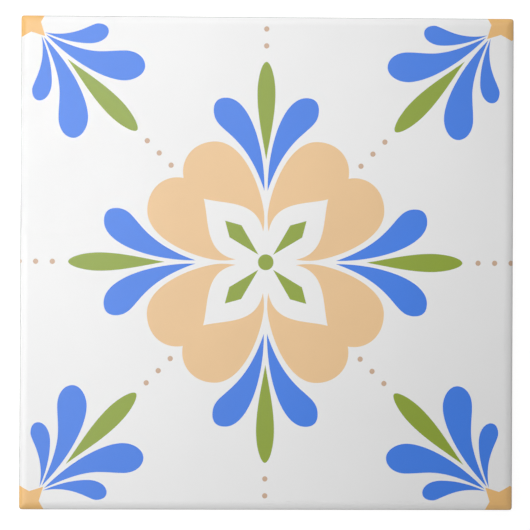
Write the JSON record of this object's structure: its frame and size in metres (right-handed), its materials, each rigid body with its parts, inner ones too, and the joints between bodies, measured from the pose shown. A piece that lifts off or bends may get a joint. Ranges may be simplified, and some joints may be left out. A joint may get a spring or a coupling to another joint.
{
  "type": "decorative tile",
  "caption": "Square glazed ceramic wall tile with a cushion edge, a printed floral ornament on its white face and a keyed back for adhesive.",
  "frame": {"origin": "centre of the back, on the plane of its ribs", "axes": "+Z out of the glazed face, X and Y along the sides, +Y towards the top of the ornament as pictured"},
  "size_m": [0.108, 0.108, 0.0064],
  "materials": {
    "tile": "glossy white glaze over a printed ornament in blue, green and tan; bare fired clay on the back"
  },
  "bodies": {
    "root": {"tile": "tile"}
  },
  "joints": []
}
